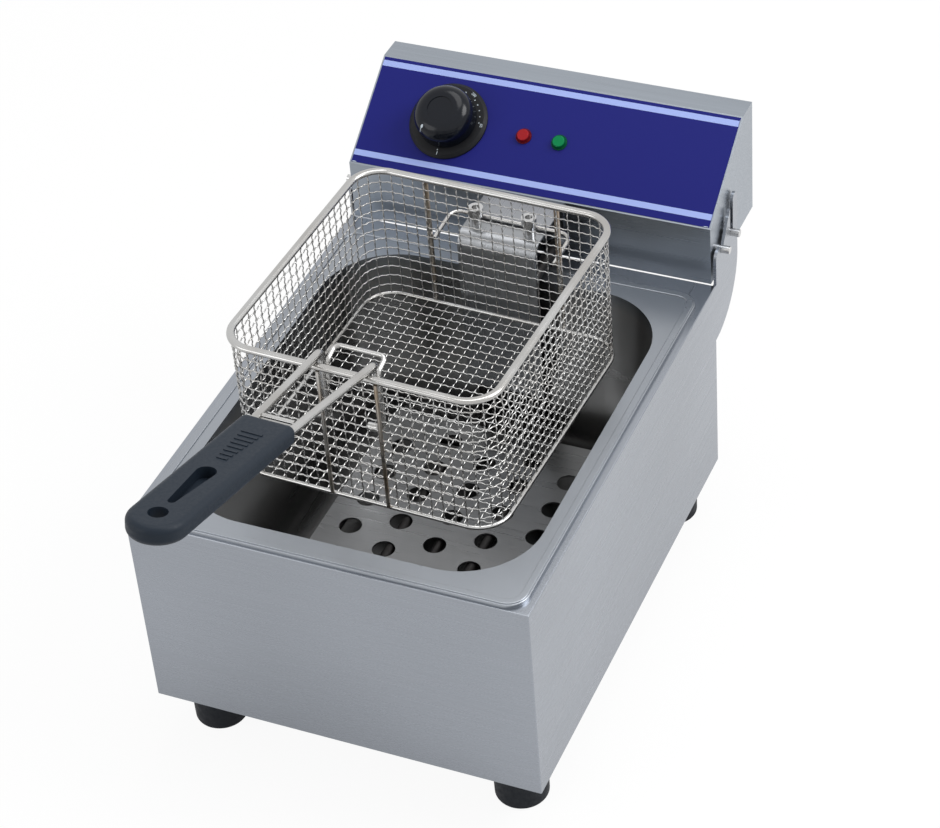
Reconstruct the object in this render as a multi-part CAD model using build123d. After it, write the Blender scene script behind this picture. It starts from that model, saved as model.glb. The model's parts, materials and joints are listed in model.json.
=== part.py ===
from build123d import *
import os
from math import cos, hypot, radians, sin, tan

# Countertop deep fryer with a drawn pan, a tilting control head and a hanging wire basket.
# Millimetres. While modelling, X is right, Y runs back from the casing front, Z is up from the floor.
# Before saving, everything moves along Y so that the origin lies under the middle of the whole object.

# Casing
casing_width = 275.0
casing_depth = 343.0
casing_height = 155.0
casing_gauge = 1.0
casing_lip = 14.0  # inward fold at the top of front and sides
casing_hem = 12.0  # inward fold at the bottom of front and sides
casing_edge_radius = 0.8
fold_gap = 0.2  # room between sheets that lie side by side
base_gauge = 1.0
deck_reach = 29.0  # deck strip, forward from the back

# Feet and screws
foot_height = 38.0
foot_top_diameter = 37.0
foot_base_diameter = 36.0
foot_edge_radius = 3.0
foot_inset_x = 27.8
foot_inset_front = 31.0
foot_inset_rear = 22.0
foot_recess_diameter = 11.0
foot_recess_depth = 24.0
screw_diameter = 4.0
screw_head_diameter = 7.6
screw_head_height = 2.4
screw_nut_height = 3.0
screw_clearance = 0.3
screw_seat = 0.05  # between a head or nut and its seat

# Pan
pan_flange_corner = 14.0
pan_flange_rise = 2.8  # flange top over the casing top
pan_front_gap = 1.5  # flange front from the casing front
pan_rear_gap = 16.5  # flange rear from the casing back
pan_side_gap = 5.0  # flange edge from the casing side
pan_bead_inset = 1.0  # raised bead along the flange edge
pan_bead_width = 4.5
pan_bead_height = 0.8
pan_bead_radius = 0.5
pan_side_ledge = 12.8  # flat of the flange at each side
pan_front_ledge = 16.7  # flat of the flange at front and back
pan_mouth_corner = 52.0
pan_depth = 148.0
pan_wall = 0.8
pan_taper = 3.0  # degrees
pan_floor_radius = 22.0

# Control head
head_side_gap = 3.5  # head side from the casing side
head_gauge = 1.0
head_gap = 1.0  # head front behind the casing back
head_apron_gap = 0.4  # apron edge over the deck
head_front_rise = 46.0  # fold under the sloped panel, over the deck
panel_length = 84.1
panel_slope = 33.3  # degrees
head_top_depth = 19.0
head_rear_lip = 12.0
head_base_step = 4.0  # rear part of the bottom, over the apron edge
head_base_front = 56.0  # length of the lower front part of the bottom

# Side hinge
hinge_back = 34.5  # pivot behind the casing back
hinge_rise = 22.0  # pivot over the deck
pin_spacing = 20.5
pin_diameter = 5.5
pin_reach = 6.0  # pin end outside the bracket
pin_head_diameter = 9.0
pin_head_thickness = 2.5
pin_seat_clearance = 0.05
pivot_clearance = 0.08
guide_clearance = 0.25
tilt_limit = 70.0  # degrees
lift_slot_rise = 28.0
lift_slot_lean = 0.5
bracket_gauge = 2.0
bracket_radius = 46.7
bracket_nose_radius = 6.0
bracket_nose_rise = 25.5  # nose top over the deck
bracket_finger_rise = 20.0  # finger top over the pivot
bracket_finger_radius = 2.0
bracket_post_width = 8.5  # behind the upright slot
bracket_flange_width = 22.0
bracket_flange_height = 32.0
bracket_flange_drop = 8.0

# Panel fittings, measured along the panel from its lower fold
film_thickness = 0.4
film_margin = 1.2
dial_x = -71.0
dial_up = 43.0
dial_skirt_diameter = 57.0
dial_skirt_height = 3.5
knob_diameter = 43.0
knob_top_diameter = 41.0
knob_height = 19.0
knob_rim_height = 3.0
knob_crown_radius = 10.0
knob_dish_diameter = 18.5
knob_dish_depth = 0.6
knob_gap = 0.4
shaft_diameter = 6.0
shaft_clearance = 0.06
shaft_hole_margin = 1.0
shaft_grip = 13.0  # shaft inside the knob
shaft_depth = 12.0  # shaft inside the thermostat
thermostat_width = 44.0
thermostat_length = 34.0
thermostat_depth = 28.0
thermostat_edge_radius = 3.0
lamp_up = 42.0
lamp_red_x = -14.0
lamp_green_x = 12.5
lamp_bezel_diameter = 11.4
lamp_bezel_height = 0.8
lamp_cone_diameter = 10.6
lamp_top_diameter = 8.0
lamp_cone_height = 2.6
lamp_edge_radius = 0.5
lamp_body_diameter = 8.8
lamp_body_length = 22.0

# Guard, hanger shelf and pegs
guard_width = 57.0
guard_gauge = 1.5
guard_front = 54.0  # guard face in front of the head
guard_offset = -0.8  # guard and pegs, to the left of the middle
guard_bottom_drop = 85.0  # guard edge under the deck
guard_bend = 11.0  # between the guard face and the shelf
hanger_shelf_rise = 43.5  # shelf top over the deck
hanger_tab_drop = 18.0  # tab edge under the shelf
rivet_diameter = 4.0
rivet_head_diameter = 6.0
rivet_head_height = 1.4
rivet_spacing = 36.0
peg_diameter = 7.2
peg_head_diameter = 10.5
peg_head_height = 6.0
peg_bore = 5.2
peg_bore_depth = 4.0
peg_spacing = 39.0
peg_rise = 15.1  # peg top over the shelf
peg_set = 3.85  # peg centre behind the bend of the guard
peg_bar_gap = 1.3  # between peg head and hook bar
peg_stem_diameter = 5.0
peg_nut_diameter = 8.4
peg_nut_height = 3.5

# Heating elements and cover plate
tube_diameter = 8.0
element_lift = 23.0  # element centre over the pan floor
element_entry_rise = 10.0  # where the tubes enter the head, over the deck
element_riser_gap = 2.0  # between guard and risers
element_inner_x = 7.0
element_outer_x = 21.0
element_loop_inner_x = 30.0
element_side_gap = 9.0  # outer run inside the edge of the cover plate
element_front_gap = 2.0  # front run behind the front edge of the cover plate
element_outer_run = 31.0
element_inner_run = 56.0
element_bend = 12.0
element_loop_bend = 20.0
element_inner_bend = 10.0
element_tail = 12.0  # tube end inside the head
element_hole_clearance = 0.2
nut_diameter = 11.4
nut_thickness = 3.0
bulb_diameter = 6.0
bulb_length = 90.0
bulb_setback = 177.5  # bulb front from the risers
capillary_diameter = 2.0
capillary_bend = 8.0
capillary_inset = 3.0  # from the rear of the thermostat
cover_width = 168.0
cover_length = 208.0
cover_gauge = 1.2
cover_rear_gap = 9.0  # to the guard
cover_corner = 8.0
cover_flange = 8.0
cover_hole_diameter = 16.0
cover_pitch_x = 31.5
cover_pitch_y = 29.5
cover_columns = 5
cover_rows = 6
seat_gap = 0.3  # loose piece over its seat

# Pieces inside and behind the head
gland_x = -75.0
gland_rise = 32.0
gland_bore = 8.4
gland_neck_diameter = 16.0
gland_nut_diameter = 22.0
gland_reach = 14.0
gland_inner = 8.0
reset_x = 70.0
reset_rise = 45.0
reset_button_diameter = 9.0
reset_button_length = 6.0
reset_button_gap = 2.2
reset_stem_diameter = 4.0
reset_stem_length = 12.0
reset_bezel_diameter = 18.0
reset_bezel_height = 4.0
reset_clearance = 0.3
cutout_diameter = 20.0
cutout_length = 24.0
terminal_x = 80.0
terminal_size = (50.0, 20.0, 17.0)
terminal_inset = 18.0
terminal_ways = 3
terminal_bore = 6.0
terminal_bore_depth = 10.0
switch_x = -62.0
switch_size = (20.0, 10.0, 12.0)
switch_inset = 6.0
switch_plunger_diameter = 3.0
switch_plunger_height = 2.5
cover_screw_spacing = 100.0

# Basket
basket_width = 185.0  # between wire centres
basket_length = 204.0
basket_height = 103.0  # between the centres of rim and floor rim
basket_corner = 21.0
basket_rim_width = 5.4  # flattened wire
basket_rim_height = 3.8
basket_rim_rounding = 1.8
basket_rim_rise = 45.9  # rim over the hook bar
basket_floor_diameter = 3.0
basket_wire = 1.2
basket_mesh_pitch = 12.0
basket_weld_gap = 0.1
basket_yaw = -2.1  # degrees, hung a little askew
basket_yaw_centre = 63.0  # turning point, in front of the hook bar
stay_diameter = 4.0
stay_spacing = 96.0
front_stay_diameter = 2.6
front_stay_spacing = 40.0
front_stay_offset = -2.0
hook_diameter = 3.2
hook_reach = 32.0  # bar centre behind the rear wall
hook_bend = 8.0
hook_drop = 3.0  # leg ends under the bar
staple_diameter = 3.2
staple_left = 11.0  # left leg from the middle of the handle
staple_gap = 0.6  # to the right rod
staple_drop = 14.0
staple_rise = 6.0
staple_bend = 4.0

# Handle
handle_offset = -7.0  # handle and staple, to the left of the basket's middle
handle_slope = 12.0  # degrees
handle_rod_diameter = 5.5
handle_rod_spacing = 38.0
handle_root_spacing = 26.0
handle_inset = 12.0  # rod legs behind the front wall
handle_leg = 50.0
handle_toe = 10.0  # to the left
handle_bend = 7.0
handle_toe_bend = 5.0
handle_reach = 86.0  # front wall to grip
handle_rest_gap = 0.3
grip_skew = 1.5  # degrees, tip turned to the left
grip_length = 142.0
grip_root_width = 37.0
grip_tip_width = 37.0
grip_thickness = 12.5
grip_edge_radius = 4.5
grip_root_radius = 5.0
grip_socket_depth = 36.0
grip_socket_clearance = 0.05
grip_hole_diameter = 12.0
grip_recess_depth = 7.5
grip_recess_wide = 12.5
grip_recess_narrow = 5.0
grip_recess_start = 72.5
grip_recess_end = 109.0
grip_rib_count = 8
grip_rib_first = 21.0
grip_rib_pitch = 4.8
grip_rib_long = 14.0
grip_rib_short = 7.0
grip_rib_width = 2.0
grip_rib_height = 0.5
cross_wire_diameter = 4.0
cross_wire_offset = 10.0

# Levels and places worked out from the sizes above
floor_z = foot_height
deck_z = foot_height + casing_height
pan_flange_width = casing_width - 2 * pan_side_gap
pan_flange_length = casing_depth - pan_front_gap - pan_rear_gap
flange_z = deck_z + pan_flange_rise
pan_floor_z = flange_z - pan_depth + pan_wall
pan_centre_y = pan_front_gap + pan_flange_length / 2
head_front_y = casing_depth + head_gap
head_fold_z = deck_z + head_front_rise
apron_z = deck_z + head_apron_gap
panel_run = panel_length * cos(radians(panel_slope))
panel_climb = panel_length * sin(radians(panel_slope))
head_ridge_y = head_front_y + panel_run
head_top_z = head_fold_z + panel_climb
head_rear_y = head_ridge_y + head_top_depth
head_base_z = apron_z + head_base_step
head_step_y = head_front_y + head_base_front
head_width = casing_width - 2 * head_side_gap
head_inside = head_width / 2 - head_gauge
back_y = head_rear_y - head_gauge - fold_gap
hinge_y = casing_depth + hinge_back
hinge_z = deck_z + hinge_rise
shelf_z = deck_z + hanger_shelf_rise
guard_y = head_front_y - guard_front
riser_y = guard_y + guard_gauge + element_riser_gap + tube_diameter / 2
element_z = pan_floor_z + element_lift
entry_z = deck_z + element_entry_rise
cover_z = element_z + tube_diameter / 2 + seat_gap
cover_rear_y = guard_y - cover_rear_gap
cover_front_y = cover_rear_y - cover_length
element_loop_outer_x = cover_width / 2 - element_side_gap
element_loop_front = cover_front_y + element_front_gap
bulb_front = riser_y - bulb_setback
peg_y = guard_y + guard_bend + peg_set
bar_y = peg_y + peg_head_diameter / 2 + peg_bar_gap + hook_diameter / 2
bar_z = shelf_z + hook_diameter / 2 + seat_gap
rear_wall_y = bar_y - hook_reach
front_wall_y = rear_wall_y - basket_length
basket_y = (rear_wall_y + front_wall_y) / 2
hook_z = bar_z - hook_drop
rim_z = bar_z + basket_rim_rise
floor_rim_z = rim_z - basket_height
panel_plane = Plane(
    origin=(0, head_front_y, head_fold_z),
    x_dir=(1, 0, 0),
    z_dir=(0, -sin(radians(panel_slope)), cos(radians(panel_slope))),
)
dial_place = panel_plane * Pos(dial_x, dial_up, 0)
hang = Pos(0, bar_y - basket_yaw_centre, 0) * Rot(0, 0, basket_yaw) * Pos(0, basket_yaw_centre - bar_y, 0)


def block(x_low, x_high, y_low, y_high, z_low, z_high):
    size = Box(x_high - x_low, y_high - y_low, z_high - z_low)
    return Pos((x_low + x_high) / 2, (y_low + y_high) / 2, (z_low + z_high) / 2) * size


def sheet_section(points, gauge):
    # Section of a folded sheet: the line through the points is one face, the metal lies to its right.
    inner = []
    for index, point in enumerate(points):
        normals = []
        for start, end in ((index - 1, index), (index, index + 1)):
            if 0 <= start and end < len(points):
                run = points[end][0] - points[start][0]
                rise = points[end][1] - points[start][1]
                length = hypot(run, rise)
                normals.append((rise / length, -run / length))
        first = normals[0]
        last = normals[-1]
        share = gauge / (1 + first[0] * last[0] + first[1] * last[1])
        inner.append((point[0] + share * (first[0] + last[0]), point[1] + share * (first[1] + last[1])))
    return make_face(Polyline(*points, *reversed(inner), close=True))


def across(section, x_low, x_high):
    # A section drawn in Y and Z, carried along X.
    return extrude(Plane.YZ.offset(x_low) * section, amount=x_high - x_low, dir=(1, 0, 0))


def turned(points):
    # A piece of revolution about Z from (radius, height) points.
    return revolve(Plane.XZ * make_face(Polyline(*points, close=True)), Axis.Z)


def rod(diameter, start, end):
    # A straight round bar between two points.
    line = Line(start, end)
    return extrude(Plane(line @ 0, z_dir=line % 0) * Circle(diameter / 2), amount=line.length)


def bent_wire(points, diameter, radius):
    # A round wire through the points, with bends of the given radius or radii.
    path = FilletPolyline(*points, radius=radius)
    return sweep(Plane(path @ 0, z_dir=path % 0) * Circle(diameter / 2), path=path)


def wire_ring(diameter, z):
    # A round wire bent to the basket's outline.
    path = Pos(0, basket_y, z) * RectangleRounded(basket_width, basket_length, basket_corner).wire()
    return sweep(Plane(path @ 0, z_dir=path % 0) * Circle(diameter / 2), path=path)


def rim_ring():
    # The rim wire is flattened, wider than it is high.
    outer = RectangleRounded(
        basket_width + basket_rim_width,
        basket_length + basket_rim_width,
        basket_corner + basket_rim_width / 2,
    )
    inner = RectangleRounded(
        basket_width - basket_rim_width,
        basket_length - basket_rim_width,
        basket_corner - basket_rim_width / 2,
    )
    ring = extrude(outer - inner, amount=basket_rim_height)
    levels = ring.edges().group_by(Axis.Z)
    ring = fillet([*levels[0], *levels[-1]], basket_rim_rounding)
    return Pos(0, basket_y, rim_z - basket_rim_height / 2) * ring


def both_sides(shape):
    return [shape, mirror(shape, Plane.YZ)]


def group(shapes):
    return Compound([solid for shape in shapes for solid in shape.solids()])


def casing_shell():
    half = casing_width / 2
    hem_z = floor_z + base_gauge
    shell = block(-half, half, 0, casing_depth, floor_z, deck_z)
    shell -= block(
        -half + casing_gauge, half - casing_gauge, casing_gauge, casing_depth + 1, floor_z - 1, deck_z + 1
    )
    hem_end = casing_depth - casing_gauge - fold_gap
    for fold, low, end in ((casing_lip, deck_z - casing_gauge, casing_depth), (casing_hem, hem_z, hem_end)):
        strip = block(-half, half, 0, end, low, low + casing_gauge)
        strip -= block(-half + fold, half - fold, fold, casing_depth + 1, low - 1, low + casing_gauge + 1)
        shell += strip
    corners = shell.edges().filter_by(Axis.Z).filter_by(
        lambda edge: abs(abs(edge.center().X) - half) < 0.01 and abs(edge.center().Y) < 0.01
    )
    rim = shell.edges().filter_by(lambda edge: abs(edge.center().Z - deck_z) < 0.01).filter_by(
        lambda edge: abs(abs(edge.center().X) - half) < 0.01 or abs(edge.center().Y) < 0.01
    )
    shell = fillet(corners + rim, casing_edge_radius)
    for x, y in base_screw_places():
        shell -= Pos(x, y, hem_z) * Cylinder(screw_diameter / 2 + screw_clearance, 4 * casing_gauge)
    return shell


def base_screw_places():
    middle = casing_depth / 2
    side = casing_width / 2 - casing_gauge - casing_hem / 2
    return [(side, middle), (-side, middle), (0, casing_gauge + casing_hem / 2)]


def foot_places():
    x = casing_width / 2 - foot_inset_x
    return {
        "foot_front_left": (-x, foot_inset_front),
        "foot_front_right": (x, foot_inset_front),
        "foot_rear_left": (-x, casing_depth - foot_inset_rear),
        "foot_rear_right": (x, casing_depth - foot_inset_rear),
    }


def base_plate():
    inset = casing_gauge + fold_gap
    half = casing_width / 2 - inset
    plate = block(-half, half, inset, casing_depth - inset, floor_z, floor_z + base_gauge)
    hole = Cylinder(screw_diameter / 2 + screw_clearance, 4 * base_gauge)
    for x, y in [*foot_places().values(), *base_screw_places()]:
        plate -= Pos(x, y, floor_z) * hole
    return plate


def foot(place):
    body = loft(
        [
            Pos(0, 0, 0) * Circle(foot_base_diameter / 2),
            Pos(0, 0, foot_height) * Circle(foot_top_diameter / 2),
        ]
    )
    body = fillet(body.edges().group_by(Axis.Z)[0], foot_edge_radius)
    body -= Pos(0, 0, foot_recess_depth / 2) * Cylinder(foot_recess_diameter / 2, foot_recess_depth)
    body -= Pos(0, 0, foot_height / 2) * Cylinder(screw_diameter / 2 + screw_clearance, foot_height + 1)
    return Pos(place[0], place[1], 0) * body


def headed_pin(shank_diameter, shank_length, head_diameter, head_height):
    # Head below zero, shank upwards from the head.
    points = [
        (0, -screw_seat - head_height),
        (head_diameter / 2, -screw_seat - head_height),
        (head_diameter / 2, -screw_seat),
        (shank_diameter / 2, -screw_seat),
        (shank_diameter / 2, shank_length),
        (0, shank_length),
    ]
    return turned(points)


def foot_screws():
    length = floor_z + base_gauge - foot_recess_depth + screw_seat + screw_nut_height
    screw = headed_pin(screw_diameter, length, screw_head_diameter, screw_head_height)
    screw += Pos(0, 0, length - screw_nut_height / 2) * Cylinder(screw_head_diameter / 2, screw_nut_height)
    return group([Pos(x, y, foot_recess_depth) * screw for x, y in foot_places().values()])


def base_screws():
    length = base_gauge + casing_gauge + screw_nut_height
    screw = headed_pin(screw_diameter, length, screw_head_diameter, screw_head_height)
    return group([Pos(x, y, floor_z) * screw for x, y in base_screw_places()])


def bracket_screw_places():
    x = casing_width / 2 - bracket_gauge - bracket_flange_width / 2
    low = deck_z - bracket_flange_drop - bracket_flange_height
    heights = (low + bracket_flange_height / 4, low + 3 * bracket_flange_height / 4)
    return [(side * x, z) for side in (-1, 1) for z in heights]


def back_panel():
    half = casing_width / 2 - casing_gauge - fold_gap
    deck_half = casing_width / 2 - casing_lip - fold_gap
    wall_top = deck_z - casing_gauge - fold_gap
    panel = block(-half, half, casing_depth - casing_gauge, casing_depth, floor_z, wall_top)
    line = [(casing_depth - deck_reach, deck_z), (casing_depth, deck_z), (casing_depth, floor_z)]
    panel += across(sheet_section(line, casing_gauge), -deck_half, deck_half)
    for x, z in bracket_screw_places():
        hole = Cylinder(screw_diameter / 2 + screw_clearance, 4 * casing_gauge, rotation=(90, 0, 0))
        panel -= Pos(x, casing_depth, z) * hole
    return panel


def pan():
    flange = RectangleRounded(pan_flange_width, pan_flange_length, pan_flange_corner)
    inside = RectangleRounded(
        pan_flange_width - 2 * pan_wall, pan_flange_length - 2 * pan_wall, pan_flange_corner - pan_wall
    )
    shape = extrude(flange, amount=pan_flange_rise)
    shape = fillet(shape.edges().group_by(Axis.Z)[-1], pan_wall * 0.9)
    shape -= extrude(inside, amount=pan_flange_rise - pan_wall)
    shape += pan_well(pan_wall, pan_depth)
    shape += pan_bead()
    shape -= pan_well(0, pan_depth - pan_wall)
    return Pos(0, pan_centre_y, deck_z) * shape


def pan_bead():
    # Raised band along the edge of the flange.
    rings = []
    for inset in (pan_bead_inset, pan_bead_inset + pan_bead_width):
        rings.append(
            RectangleRounded(
                pan_flange_width - 2 * inset, pan_flange_length - 2 * inset, pan_flange_corner - inset
            )
        )
    low = pan_flange_rise - pan_wall / 2
    band = extrude(Pos(0, 0, low) * (rings[0] - rings[1]), amount=pan_wall / 2 + pan_bead_height)
    return fillet(band.edges().group_by(Axis.Z)[-1], pan_bead_radius)


def pan_well(wall, depth):
    # The drawn hollow as a solid, hanging from the flange top.
    mouth_width = pan_flange_width - 2 * pan_side_ledge + 2 * wall
    mouth_length = pan_flange_length - 2 * pan_front_ledge + 2 * wall
    mouth = RectangleRounded(mouth_width, mouth_length, pan_mouth_corner + wall)
    well = extrude(Pos(0, 0, pan_flange_rise) * mouth, amount=depth, dir=(0, 0, -1), taper=pan_taper)
    return fillet(well.edges().group_by(Axis.Z)[0], pan_floor_radius + wall)


def pin_places():
    return {"pivot": (hinge_y, hinge_z), "guide": (hinge_y - pin_spacing, hinge_z)}


def hinge_bracket():
    # Three fingers: a nose in front of the guide pin, a middle finger, and a post behind the pivot pin.
    outer = casing_width / 2
    disc = Pos(casing_depth, deck_z) * Circle(bracket_radius)
    corner = Pos(casing_depth + bracket_radius, deck_z - bracket_radius)
    quarter = disc & corner * Rectangle(2 * bracket_radius, 2 * bracket_radius)
    pivot_radius = pin_diameter / 2 + pivot_clearance
    guide_radius = pin_diameter / 2 + guide_clearance
    front_y = head_front_y + head_gauge
    notch_y = hinge_y - pin_spacing
    pivot = Pos(hinge_y, hinge_z)
    end_angle = 180 - tilt_limit
    reach = 3 * pin_spacing
    slot_top = (hinge_y + lift_slot_lean, hinge_z + lift_slot_rise)
    post_radius = bracket_post_width / 2
    post = Pos(slot_top[0] + pivot_radius + post_radius, slot_top[1] - post_radius) * Circle(post_radius)
    tip = Pos(hinge_y - pivot_radius, hinge_z + bracket_finger_rise - bracket_finger_radius)
    tip *= Circle(bracket_finger_radius)
    root = Line((front_y, deck_z), (casing_depth + bracket_radius, deck_z))
    fin = make_hull([*post.edges(), *tip.edges(), *root.edges()])
    sweep = make_face(
        Polyline(
            (hinge_y, hinge_z),
            (hinge_y + reach * cos(radians(end_angle)), hinge_z + reach * sin(radians(end_angle))),
            (hinge_y - reach, hinge_z + reach),
            (hinge_y - reach, hinge_z),
            close=True,
        )
    )
    fin -= sweep - pivot * Circle(pin_spacing - guide_radius)
    stops = [pivot * Rot(0, 0, end_angle) * Pos(r, 0) * Circle(guide_radius) for r in (pin_spacing, reach)]
    fin -= make_hull([edge for stop in stops for edge in stop.edges()])
    nose_width = notch_y - front_y
    nose_place = Pos(front_y + nose_width / 2, deck_z + bracket_nose_rise / 2)
    nose = nose_place * Rectangle(nose_width, bracket_nose_rise)
    nose = fillet(nose.vertices().group_by(Axis.Y)[-1].sort_by(Axis.X)[0], bracket_nose_radius)
    turn_room = pivot * Circle(pin_spacing + guide_radius)
    turn_room &= Pos(hinge_y, hinge_z + reach / 2) * Rectangle(2 * reach, reach)
    profile = quarter + fin + (nose - turn_room)
    profile -= Pos(notch_y, hinge_z) * Circle(guide_radius)
    top = (hinge_y + lift_slot_lean * reach / lift_slot_rise, hinge_z + reach)
    ends = [pivot * Circle(pivot_radius), Pos(*top) * Circle(pivot_radius)]
    profile -= make_hull([edge for end in ends for edge in end.edges()])
    plate = across(profile, outer - bracket_gauge, outer)
    flange_top = deck_z - bracket_flange_drop
    plate += block(
        outer - bracket_gauge - bracket_flange_width,
        outer - bracket_gauge,
        casing_depth,
        casing_depth + bracket_gauge,
        flange_top - bracket_flange_height,
        flange_top,
    )
    for x, z in bracket_screw_places():
        hole = Cylinder(screw_diameter / 2 + screw_clearance, 4 * bracket_gauge, rotation=(90, 0, 0))
        plate -= Pos(x, casing_depth, z) * hole
    return plate


def bracket_screws():
    length = bracket_gauge + casing_gauge + screw_nut_height
    screw = Rot(90, 0, 0) * headed_pin(screw_diameter, length, screw_head_diameter, screw_head_height)
    return group([Pos(x, casing_depth + bracket_gauge, z) * screw for x, z in bracket_screw_places()])


def pins(name):
    y, z = pin_places()[name]
    length = casing_width / 2 + pin_reach - head_inside
    pin = Rot(0, 90, 0) * headed_pin(pin_diameter, length, pin_head_diameter, pin_head_thickness)
    return group(both_sides(Pos(head_inside, y, z) * pin))


def element_places():
    return [side * x for side in (-1, 1) for x in (element_inner_x, element_outer_x)]


def rivet_places():
    z = shelf_z - (guard_gauge + hanger_tab_drop) / 2
    return [(guard_offset - rivet_spacing / 2, z), (guard_offset + rivet_spacing / 2, z)]


def cover_screw_places():
    z = head_top_z - head_rear_lip / 2
    return [(x, z) for x in (-cover_screw_spacing, 0, cover_screw_spacing)]


def hole_along_y(diameter, x, y, z, length):
    return Pos(x, y, z) * Cylinder(diameter / 2, length, rotation=(90, 0, 0))


def head_cover():
    line = [
        (head_front_y, apron_z),
        (head_front_y, head_fold_z),
        (head_ridge_y, head_top_z),
        (head_rear_y, head_top_z),
        (head_rear_y, head_top_z - head_rear_lip),
    ]
    side = [
        *line[:4],
        (head_rear_y, head_base_z),
        (head_step_y + head_base_step, head_base_z),
        (head_step_y, apron_z),
    ]
    shape = across(sheet_section(line, head_gauge), -head_inside, head_inside)
    wall = across(make_face(Polyline(*side, close=True)), head_inside, head_width / 2)
    for wall_side in both_sides(wall):
        shape += wall_side
    for place in pin_places().values():
        bore = Cylinder(pin_diameter / 2 + pin_seat_clearance, head_width + 10, rotation=(0, 90, 0))
        shape -= Pos(0, *place) * bore
    drill = 6 * head_gauge
    for x in element_places():
        shape -= hole_along_y(tube_diameter + 2 * element_hole_clearance, x, head_front_y, entry_z, drill)
    shape -= hole_along_y(capillary_diameter + 2 * seat_gap, 0, head_front_y, entry_z, drill)
    for x, z in rivet_places():
        shape -= hole_along_y(rivet_diameter + 2 * screw_clearance, x, head_front_y, z, drill)
    for x, z in cover_screw_places():
        shape -= hole_along_y(screw_diameter + 2 * screw_clearance, x, head_rear_y, z, drill)
    for hole in panel_holes():
        shape -= hole
    return shape


def panel_holes():
    deep = 8 * head_gauge
    lamp_hole = Cylinder(lamp_body_diameter / 2 + screw_clearance, deep)
    dial_hole = Cylinder(shaft_diameter / 2 + shaft_hole_margin, deep)
    holes = [panel_plane * Pos(x, lamp_up, 0) * lamp_hole for x in (lamp_red_x, lamp_green_x)]
    return [*holes, dial_place * dial_hole]


def head_back_panel():
    half = head_inside - fold_gap
    line = [
        (back_y, head_top_z - head_gauge - fold_gap),
        (back_y, head_base_z),
        (head_step_y + head_base_step, head_base_z),
        (head_step_y, apron_z),
        (head_front_y + head_gauge + fold_gap, apron_z),
    ]
    shape = across(sheet_section(line, head_gauge), -half, half)
    drill = 6 * head_gauge
    for x, z in cover_screw_places():
        shape -= hole_along_y(screw_diameter + 2 * screw_clearance, x, back_y, z, drill)
    gland_hole = gland_neck_diameter + 2 * screw_clearance
    shape -= hole_along_y(gland_hole, gland_x, back_y, deck_z + gland_rise, drill)
    shape -= hole_along_y(
        reset_button_diameter + 2 * reset_clearance, reset_x, back_y, deck_z + reset_rise, drill
    )
    return shape


def cover_screws():
    length = 2 * head_gauge + fold_gap + screw_nut_height
    screw = Rot(90, 0, 0) * headed_pin(screw_diameter, length, screw_head_diameter, screw_head_height)
    return group([Pos(x, head_rear_y, z) * screw for x, z in cover_screw_places()])


def panel_film():
    film = Box(head_width - 2 * film_margin, panel_length - 2 * film_margin, film_thickness)
    film = panel_plane * Pos(0, panel_length / 2, film_thickness / 2) * film
    for hole in panel_holes():
        film -= hole
    return film


def dial_skirt():
    radius = dial_skirt_diameter / 2
    bore = shaft_diameter / 2 + shaft_hole_margin
    slant = dial_skirt_height * 0.6
    points = [
        (bore, 0),
        (radius, 0),
        (radius, dial_skirt_height - slant),
        (radius - slant, dial_skirt_height),
        (bore, dial_skirt_height),
    ]
    return dial_place * Pos(0, 0, film_thickness) * turned(points)


def knob():
    low = film_thickness + dial_skirt_height + knob_gap
    top = knob_top_diameter / 2
    points = [
        (shaft_diameter / 2, 0),
        (knob_diameter / 2, 0),
        (knob_diameter / 2, knob_rim_height),
        (top, knob_height),
        (0, knob_height),
        (0, shaft_grip),
        (shaft_diameter / 2, shaft_grip),
    ]
    body = turned(points)
    body = fillet(body.edges().group_by(Axis.Z)[-1], knob_crown_radius)
    body -= Pos(0, 0, knob_height) * Cylinder(knob_dish_diameter / 2, 2 * knob_dish_depth)
    return dial_place * Pos(0, 0, low) * body


def thermostat_shaft():
    low = -head_gauge - shaft_depth
    high = film_thickness + dial_skirt_height + knob_gap + shaft_grip
    return dial_place * Pos(0, 0, (low + high) / 2) * Cylinder(shaft_diameter / 2, high - low)


def thermostat_body():
    body = Box(thermostat_width, thermostat_length, thermostat_depth)
    body = fillet(body.edges().filter_by(Axis.Z), thermostat_edge_radius)
    body = Pos(0, 0, -head_gauge - thermostat_depth / 2) * body
    bore = Cylinder(shaft_diameter / 2 + shaft_clearance, shaft_depth + seat_gap)
    body -= Pos(0, 0, -head_gauge - (shaft_depth + seat_gap) / 2) * bore
    return dial_place * body


def lamp_lens(x):
    points = [
        (0, 0),
        (lamp_bezel_diameter / 2, 0),
        (lamp_bezel_diameter / 2, lamp_bezel_height),
        (lamp_cone_diameter / 2, lamp_bezel_height),
        (lamp_top_diameter / 2, lamp_bezel_height + lamp_cone_height),
        (0, lamp_bezel_height + lamp_cone_height),
    ]
    lens = turned(points)
    lens = fillet(lens.edges().group_by(Axis.Z)[-1], lamp_edge_radius)
    return panel_plane * Pos(x, lamp_up, film_thickness) * lens


def lamp_body(x):
    body = Cylinder(lamp_body_diameter / 2, lamp_body_length)
    return panel_plane * Pos(x, lamp_up, film_thickness - lamp_body_length / 2) * body


def peg_places():
    return [guard_offset - peg_spacing / 2, guard_offset + peg_spacing / 2]


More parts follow.
